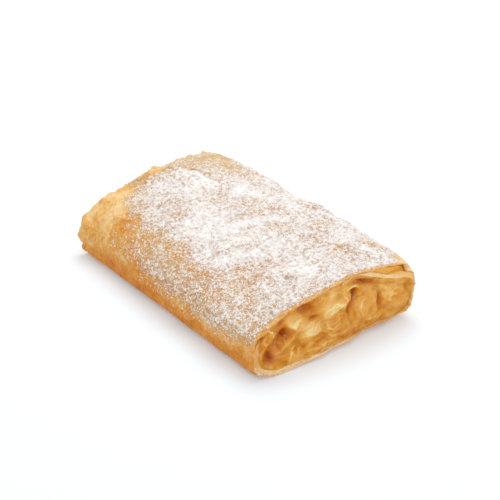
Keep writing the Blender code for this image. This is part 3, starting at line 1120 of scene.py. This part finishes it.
def sleevePlug(first, last, cuts, inset, push):
    # a solid that fills the sleeve from one place to another; push moves its two ends
    bm = bmesh.new()
    bmesh.ops.create_cube(bm, size=2)
    bmesh.ops.subdivide_edges(bm, edges=bm.edges, cuts=cuts, use_grid_fill=True)
    verts = list(bm.verts)
    unit = np.array([vert.co for vert in verts])
    ring = np.maximum(np.abs(unit[:, 1]), np.abs(unit[:, 2]))
    angle = np.arctan2(unit[:, 2] * 12, unit[:, 1] * 38)
    x = first + (last - first) * (unit[:, 0] + 1) / 2
    radius = (fillRadius(x, angle) - inset) * ring
    places = skinPlaces(x, angle, radius)
    share = (unit[:, 0] + 1) / 2
    places[:, 0] += push(places[:, 1], places[:, 2], share)
    for vert, place in zip(verts, places):
        vert.co = place
    bmesh.ops.recalc_face_normals(bm, faces=bm.faces)
    return bm


def addChunk(bm, centre, size, turn, draw):
    made = bmesh.ops.create_icosphere(bm, subdivisions=3, radius=1)["verts"]
    shift = Vector([draw.uniform(-50, 50) for _ in range(3)])
    cuts = []
    for _ in range(5):
        facing = Vector([draw.gauss(0, 1) for _ in range(3)]).normalized()
        cuts.append((facing, draw.uniform(0.66, 0.9)))
    spin = Matrix.Rotation(math.radians(turn), 3, "X") @ Matrix.Rotation(draw.uniform(-0.3, 0.3), 3, "Z")
    square = 3.2
    for vert in made:
        p = vert.co.copy()
        p *= (abs(p.x) ** square + abs(p.y) ** square + abs(p.z) ** square) ** (-1 / square)
        for facing, reach in cuts:
            over = p.dot(facing) - reach
            if over > 0:
                p -= facing * over * 0.8
        p *= 1 + 0.16 * noise.noise(p * 1.4 + shift) + 0.05 * noise.noise(p * 3.4 + shift)
        vert.co = Vector(centre) + spin @ Vector((p.x * size[0] / 2, p.y * size[1] / 2, p.z * size[2] / 2))
    return made


def keepInside(verts, margin):
    # what would poke into the dough is pressed back
    places = np.array([vert.co for vert in verts])
    angle, radius = fromAxis(places[:, 1], places[:, 2])
    limit = fillRadius(places[:, 0], angle) - margin
    scale = np.minimum(1.0, limit / np.maximum(radius, 1e-6))
    for vert, k in zip(verts, scale):
        vert.co.y *= k
        vert.co.z = sleeve["axisHeight"] + (vert.co.z - sleeve["axisHeight"]) * k


def melt(bm, voxel, passes):
    # runs touching solids together into one skin, and softens the joins
    mesh = bpy.data.meshes.new("melt")
    bm.to_mesh(mesh)
    bm.free()
    block = bpy.data.objects.new("melt", mesh)
    bpy.context.collection.objects.link(block)
    remesh = block.modifiers.new("remesh", "REMESH")
    remesh.mode = "VOXEL"
    remesh.voxel_size = voxel
    shown = block.evaluated_get(bpy.context.evaluated_depsgraph_get())
    merged = bmesh.new()
    merged.from_mesh(shown.to_mesh())
    shown.to_mesh_clear()
    bpy.data.objects.remove(block, do_unlink=True)
    bpy.data.meshes.remove(mesh)
    for _ in range(passes):
        bmesh.ops.smooth_vert(merged, verts=merged.verts, factor=0.5,
                              use_axis_x=True, use_axis_y=True, use_axis_z=True)
    return merged


def standOut(bm, passes):
    # how far each place stands proud of the softened surface, mm
    verts = list(bm.verts)
    bm.verts.index_update()
    places = np.array([vert.co for vert in verts])
    normals = np.array([vert.normal for vert in verts])
    pairs = np.array([[vert.index for vert in edge.verts] for edge in bm.edges])
    count = np.maximum(np.bincount(pairs.ravel(), minlength=len(verts)), 1)[:, None]
    soft = places.copy()
    for _ in range(passes):
        total = np.zeros_like(soft)
        np.add.at(total, pairs[:, 0], soft[pairs[:, 1]])
        np.add.at(total, pairs[:, 1], soft[pairs[:, 0]])
        soft = (soft + total / count) / 2
    return ((places - soft) * normals).sum(1)


def drawOut(bm, mark):
    # sharper edges and clefts, the edges painted paler as highlights and the clefts painted darker as shade
    proud = np.clip(standOut(bm, filling["edgePasses"]), -0.6, 0.6)
    fine = np.clip(standOut(bm, filling["rimPasses"]), -0.05, 0.1)
    for vert, amount, rim in zip(bm.verts, proud, fine):
        vert[mark] += amount * filling["edgeLightCleftShade"] + rim * filling["rimTone"]
    bm.normal_update()
    for vert, amount in zip(bm.verts, proud):
        vert.co += vert.normal * amount * filling["sharpen"]


def tintBlock(bm, lumps, syrupTone):
    # how pale each place is: its own chunk's tone, or the syrup's in between
    mark = bm.verts.layers.float.new("tint")
    places = np.array([vert.co for vert in bm.verts])
    total = np.full(len(places), 0.02)
    tone = total * syrupTone
    for centre, size, turn, pale in lumps:
        away = places - np.array(centre)
        deep, wide, high = size
        across, up = turned(away[:, 1], away[:, 2], turn)
        reach = np.sqrt((away[:, 0] / deep * 2) ** 2 + (across / wide * 2) ** 2 + (up / high * 2) ** 2)
        weight = np.exp(-np.maximum(reach - 0.75, 0) * 6)
        total += weight
        tone += weight * pale
    for vert, value in zip(bm.verts, tone / total):
        vert[mark] = value
    return mark


def fillToLip(bm, mark):
    # near the dough the filling comes right out to the knife cut, and is more even in tone
    verts = list(bm.verts)
    places = np.array([vert.co for vert in verts])
    y, z = places[:, 1], places[:, 2]
    angle, radius = fromAxis(y, z)
    reach = radius / fillRadius(places[:, 0], angle)
    plane = knifePlane(y, z) - 0.25 + 0.3 * bumps(places, 3.0, 66, 2)
    snug = np.maximum(between(y, -8, 4), 1 - between(z, 4, 9)) * 0.7 + 0.3
    near = between(reach, 0.84, 0.96) * between(places[:, 0] - plane, -4.5, -2.5) * snug
    evenTone, howEven = filling["lipTone"]
    for vert, lift, amount in zip(verts, np.maximum(plane - places[:, 0], 0) * near, near):
        vert.co.x += lift
        vert[mark] += (evenTone - vert[mark]) * howEven * amount


def strandAt(place):
    # how much of a pale slice edge, with its painted highlight, runs through here
    found = 0.0
    wobble = 0.10 * noise.noise(place * 0.45) + 0.04 * noise.noise(place * 1.5)
    for y, z, wide, high, start, end, strength in filling["strands"]:
        u, v = (place.y - y) / wide, (place.z - z) / high
        ring = max(math.hypot(u, v), 1e-3)
        away = (ring - 1 + wobble) * ring / math.hypot(u / wide, v / high)
        if abs(away) > 1.2:
            continue
        run = (math.degrees(math.atan2(v, u)) - start) % 360 / (end - start)
        if run < 1:
            fade = min(1, 5 * run, 5 * (1 - run)) * (0.75 + 0.5 * noise.noise(place * 0.9))
            found = max(found, strength * fade * math.exp(-(away / filling["strandWidth"]) ** 2))
    return found


def cutBlock():
    draw = random.Random(filling["seed"])

    def push(y, z, share):
        place = np.stack([np.zeros_like(y), y, z], -1)
        angle, radius = fromAxis(y, z)
        reach = radius / fillRadius(filling["cutPlane"], angle)
        back = filling["syrupBack"] * (1 - 0.8 * between(reach, 0.80, 0.98))
        front = knifePlane(y, z) - back - filling["cutPlane"]
        front = front + filling["syrupLumps"] * bumps(place, 4.5, 61, 2)
        return front * share

    last = filling["cutPlane"]
    bm = sleevePlug(last - filling["blockDeep"], last, 30, filling["inset"], push)
    lumps = []
    for y, z, wide, high, deep, turn, pale, back in filling["chunks"]:
        centre = (float(knifePlane(y, z)) - back - deep / 2 + 1.2, y, z)
        made = addChunk(bm, centre, (deep, wide, high), turn, draw)
        leanY, leanZ = draw.uniform(-1, 1) * filling["tilt"], draw.uniform(-1, 1) * filling["tilt"]
        for vert in made:
            plane = float(knifePlane(vert.co.y, vert.co.z)) - back * 0.6
            plane += leanY * (vert.co.y - y) + leanZ * (vert.co.z - z)
            over = vert.co.x - plane
            if over > 0:
                vert.co.x = plane + over * 0.3
        lumps.append((centre, (deep, wide, high), turn, pale))
    keepInside(bm.verts, filling["inset"])
    bm = melt(bm, filling["voxel"], filling["softening"])
    mark = tintBlock(bm, lumps, filling["syrupTone"])
    drawOut(bm, mark)
    fillToLip(bm, mark)
    for vert in bm.verts:
        place = vert.co
        if place.x < last - 6:
            continue
        # each hollow is sunk in and painted darker by its depth, as shade
        for y, z, wide, high, turn, depth in filling["hollows"]:
            across, up = turned(place.y - y, place.z - z, turn)
            near = math.exp(-(across / wide) ** 2 - (up / high) ** 2)
            if near > 0.01:
                place.x -= depth * near
                vert[mark] -= filling["hollowShade"] * depth * near
        for y, z, wide, high, centre, spacing in filling["slices"]:
            near = math.exp(-((place.y - y) / wide) ** 2 - ((place.z - z) / high) ** 2)
            if near > 0.02:
                reach = math.hypot(place.y - centre[0], place.z - centre[1])
                reach += 0.8 * noise.noise(place * 0.35)
                wave = near * math.sin(reach * math.tau / spacing)
                place.x += filling["sliceDepth"] * wave
                vert[mark] += filling["sliceTone"] * wave
        pale = strandAt(place)
        rough = 0.22 * noise.noise(place * 0.55) + 0.10 * noise.noise(place * 1.3)
        place.x += filling["strandRise"] * pale + rough
        vert[mark] += pale
    return bm


def tornFront(y, z):
    # where the filling stops at the torn end, a little behind the dough's edge
    angle, radius = fromAxis(y, z)
    angle = np.mod(angle, math.tau)
    edge = np.interp(angle, angles, tornEnd, period=math.tau)
    reach = np.clip(radius / innerRadius(tableX[0], angle), 0, 1)
    return tornEnd.mean() + (edge - tornEnd.mean()) * reach ** 4 + filling["tornBack"]


def tornBlock():
    draw = random.Random(filling["seed"] + 1)
    first = float(tornEnd.mean())

    def push(y, z, share):
        place = np.stack([np.ones_like(y), y, z], -1)
        front = tornFront(y, z) + 1.0 + filling["syrupLumps"] * bumps(place, 4.5, 64, 2)
        return (1 - share) * (front - first)

    bm = sleevePlug(first, first + filling["blockDeep"], 24, filling["inset"], push)
    lumps = []
    for _ in range(filling["tornChunks"]):
        size = [draw.uniform(*filling["tornSizes"]) for _ in range(3)]
        across, up = draw.uniform(-34, 35), draw.uniform(4, 21)
        centre = (float(tornFront(across, up)) + size[0] / 2 + draw.uniform(-0.6, 1.0), across, up)
        turn = draw.uniform(0, 180)
        addChunk(bm, centre, size, turn, draw)
        lumps.append((centre, size, turn, draw.uniform(*filling["tornTones"])))
    keepInside(bm.verts, filling["inset"])
    bm = melt(bm, filling["coarseVoxel"], 2)
    drawOut(bm, tintBlock(bm, lumps, filling["tornSyrupTone"]))
    return bm


def appleFinish():
    look = Finish("stewedApple")
    tint = look.mark("tint")
    cloud = look.grain(5.0, 3, 0.5)
    fibres = look.grain(1.2, 2, 0.5, stretch=(0.6, 0.6, 1.8), place=look.bent(9.0, 7.0))
    tone = tint + (cloud - 0.5) * 0.8 + (fibres - 0.5) * 0.22
    colour = look.colours(
        tone,
        (0.02, paint(172, 78, 4)), (0.25, paint(202, 116, 20)), (0.5, paint(224, 154, 52)),
        (0.75, paint(242, 188, 100)), (1.0, paint(255, 226, 166)))
    ruddy = look.step(look.grain(7.0, 2), 0.5, 0.7)
    colour = look.mix(ruddy * 0.3, colour, paint(226, 156, 84))
    # painted highlights: thin pale lines that wind over some of the pieces
    wind = look.grain(5.5, 0, 0.4, place=look.bent(7.0, 4.0))
    patches = look.step(look.grain(6.0, 1), 0.47, 0.60)
    glintLines = look.step(look.maths("ABSOLUTE", wind - 0.5), 0.026, 0.004) * patches
    colour = look.mix(glintLines * 0.22, colour, paint(255, 224, 156))
    height = cloud * 0.6 + fibres * 0.3 + look.grain(1.8, 3, 0.6) * 0.6 + glintLines * 0.3
    wet = look.step(look.grain(3.0, 2), 0.5, 0.68)
    return look.surface(
        Base_Color=colour, Roughness=0.35, Normal=look.relief(height, 0.3),
        Subsurface_Weight=0.6, Subsurface_Radius=(1.0, 0.5, 0.12), Subsurface_Scale=3.5 * mm,
        Specular_IOR_Level=0.15, Coat_Weight=wet * 0.7, Coat_Roughness=0.12)


appleLook = appleFinish()
makePiece(cutBlock(), "appleAtCut", appleLook, ["filling"])
makePiece(tornBlock(), "appleAtTornEnd", appleLook, ["filling"])


def middlePlug():
    bm = sleevePlug(-49.0, 50.0, 12, 0.6, lambda y, z, share: 0 * y)
    mark = bm.verts.layers.float.new("tint")
    for vert in bm.verts:
        vert[mark] = 0.4
    return bm


makePiece(middlePlug(), "appleMiddle", appleLook, ["filling"])


print("sugar")
sugar = {
    "powder": 24000,
    "powderSize": (0.28, 0.60),
    "clumps": 9800,
    "clumpSize": (0.42, 0.85),
    "seed": 77,
}


def grainShape(kind):
    bm = bmesh.new()
    if kind == "powder":
        bmesh.ops.create_uvsphere(bm, u_segments=4, v_segments=2, radius=0.5)
        bmesh.ops.triangulate(bm, faces=bm.faces)
    else:
        bmesh.ops.create_icosphere(bm, subdivisions=1, radius=0.5)
    verts = np.array([vert.co for vert in bm.verts])
    faces = np.array([[vert.index for vert in face.verts] for face in bm.faces])
    bm.free()
    return verts, faces


def scatterPlaces(count, draw, wanted):
    # random places on the crust's outer face, kept where wanted() says
    rows, columns = crustOuter.shape[:2]
    cover = crustLayers["sugar"][:rows]
    kept = []
    total = 0
    cell = np.linalg.norm(np.cross(np.gradient(crustOuter, axis=0),
                                   (np.roll(crustOuter, -1, 1) - crustOuter)), axis=2)
    weight = (cell * (cover > 0.02)).ravel()
    weight /= weight.sum()
    while total < count:
        picks = draw.choice(rows * columns, size=count, p=weight)
        i, j = np.minimum(picks // columns, rows - 2), picks % columns
        fi, fj = draw.random(count), draw.random(count)
        j2 = (j + 1) % columns

        def blend(field):
            a, b = field[i, j], field[i, j2]
            c, d = field[i + 1, j], field[i + 1, j2]
            wi = fi if field.ndim == 2 else fi[:, None]
            wj = fj if field.ndim == 2 else fj[:, None]
            return (a * (1 - wj) + b * wj) * (1 - wi) + (c * (1 - wj) + d * wj) * wi

        place, normal, amount = blend(crustOuter), blend(crustNormals), blend(cover)
        keep = wanted(place, amount, draw)
        kept.append((place[keep], normal[keep]))
        total += int(keep.sum())
    place = np.concatenate([k[0] for k in kept])[:count]
    normal = np.concatenate([k[1] for k in kept])[:count]
    return place, normal / np.linalg.norm(normal, axis=1, keepdims=True)


def layGrains(name, kind, spots, sizes, sink, draw, material):
    # one grain at each place, flattened and turned at random
    verts, faces = grainShape(kind)
    place, normal = spots
    count = len(place)
    size = draw.uniform(sizes[0], sizes[1], count) * draw.uniform(0.7, 1.0, count)
    spare = draw.normal(size=(count, 3))
    side = np.cross(normal, spare)
    side /= np.linalg.norm(side, axis=1, keepdims=True)
    other = np.cross(normal, side)
    stretch = draw.uniform(0.65, 1.35, (count, 2))
    flat = draw.uniform(0.45, 0.8, count)
    shaped = verts[None] * (1 + draw.uniform(-0.25, 0.25, (count, len(verts), 1)))
    x = shaped[..., 0] * (size * stretch[:, 0])[:, None]
    y = shaped[..., 1] * (size * stretch[:, 1])[:, None]
    z = shaped[..., 2] * (size * flat)[:, None] + (size * sink)[:, None]
    corners = (place[:, None] + x[..., None] * side[:, None] + y[..., None] * other[:, None]
               + z[..., None] * normal[:, None])
    allFaces = faces[None] + (np.arange(count) * len(verts))[:, None, None]
    mesh = bpy.data.meshes.new(name)
    corners = (corners.reshape(-1, 3) + np.array(alongShift)) * mm
    mesh.from_pydata(corners.tolist(), [], allFaces.reshape(-1, 3).tolist())
    return finishPiece(mesh, name, material)


def sugarFinish():
    look = Finish("icingSugar")
    shade = look.grain(1.4, 2, 0.5)
    colour = look.colours(shade, (0.3, paint(240, 233, 229)), (0.7, paint(252, 249, 247)))
    return look.surface(Base_Color=colour, Roughness=0.9, Normal=look.relief(look.grain(0.3, 2), 0.05),
                        Specular_IOR_Level=0.2)


def powderWanted(place, amount, draw):
    patch = bumps(place, 1.5, 81, 2)
    return draw.random(len(place)) < np.clip(amount * (1 + 1.5 * patch), 0.0, 1)


def clumpsWanted(place, amount, draw):
    patch = bumps(place, 2.6, 82, 2)
    thin = (1 - 0.65 * between(amount, 0.6, 0.9)) * (0.35 + 0.65 * between(amount, 0.1, 0.5))
    return draw.random(len(place)) < np.clip(amount * (0.9 + 1.6 * patch), 0.0, 1) * thin


def sprinkle(name, kind, count, sizes, sink, wanted, material):
    draw = np.random.default_rng(sugar["seed"] + count)
    layGrains(name, kind, scatterPlaces(count, draw, wanted), sizes, sink, draw, material)


sugarLook = sugarFinish()
sprinkle("sugarPowder", "powder", sugar["powder"], sugar["powderSize"], 0.08, powderWanted, sugarLook)
sprinkle("sugarClumps", "clump", sugar["clumps"], sugar["clumpSize"], 0.05, clumpsWanted, sugarLook)

print("crumbs")
crumbs = {
    "count": 480,
    "size": (0.30, 0.62),
    "seed": 29,
}


def crumbPlaces(draw):
    # dough crumbs along the cut's lower lip and its low corner, and a few on the torn rim
    rim = len(crustOuter) + draw.integers(0, 6, crumbs["count"] * 6)
    column = draw.integers(0, crustPlaces.shape[1], crumbs["count"] * 6)
    place = crustPlaces[rim, column]
    low = between(4.5 - place[:, 2], 0, 2) * between(-8 - place[:, 1], 0, 20)
    corner = between(-place[:, 1], 33, 37) * between(7 - place[:, 2], 0, 4)
    keep = draw.random(len(place)) < np.maximum(low, corner)
    place = place[keep][:crumbs["count"]] + draw.normal(0, 0.12, (min(keep.sum(), crumbs["count"]), 3))
    place[:, 2] = np.maximum(place[:, 2], 0.3)
    normal = np.tile([0.8, -0.2, 0.55], (len(place), 1))
    return place, normal / np.linalg.norm(normal[0])


def crumbFinish():
    look = Finish("doughCrumb")
    colour = look.colours(look.grain(2.0, 2), (0.35, paint(238, 180, 104)), (0.5, paint(248, 212, 160)),
                          (0.65, paint(254, 238, 214)))
    return look.surface(Base_Color=colour, Roughness=0.7, Specular_IOR_Level=0.2)


crumbDraw = np.random.default_rng(crumbs["seed"])
layGrains("doughCrumbs", "clump", crumbPlaces(crumbDraw), crumbs["size"], 0.0, crumbDraw, crumbFinish())

print("floor and light")
studio = {
    "floorColour": paint(221, 229, 235),
    "floorGlow": 0.20,
    "sky": 0.68,
    # watts, place in metres, and size of each soft box
    "lamps": {
        "key": (3.4, (-0.20, 0.25, 0.73), 0.6),
        "fill": (1.0, (0.55, -0.9, 0.40), 0.8),
        "glint": (0.30, (0.55, -0.25, 0.45), 0.12),
    },
}


def setStudio():
    bm = bmesh.new()
    bmesh.ops.create_grid(bm, x_segments=1, y_segments=1, size=3)
    mesh = bpy.data.meshes.new("floor")
    bm.to_mesh(mesh)
    bm.free()
    look = Finish("paleFloor")
    mesh.materials.append(look.surface(
        Base_Color=studio["floorColour"], Roughness=0.9, Specular_IOR_Level=0.1,
        Emission_Color=(1, 1, 1, 1), Emission_Strength=studio["floorGlow"]))
    floor = bpy.data.objects.new("floor", mesh)
    bpy.context.collection.objects.link(floor)
    world = bpy.data.worlds.new("softSky")
    world.use_nodes = True
    world.node_tree.nodes["Background"].inputs["Color"].default_value = (1, 1, 1, 1)
    world.node_tree.nodes["Background"].inputs["Strength"].default_value = studio["sky"]
    bpy.context.scene.world = world
    for name, (watts, place, size) in studio["lamps"].items():
        light = bpy.data.lights.new(name, "AREA")
        light.energy = watts
        light.size = size
        lamp = bpy.data.objects.new(name, light)
        lamp.location = place
        lamp.rotation_euler = (-lamp.location).to_track_quat("-Z", "Y").to_euler()
        bpy.context.collection.objects.link(lamp)
    bpy.context.scene.view_settings.view_transform = "Standard"


setStudio()
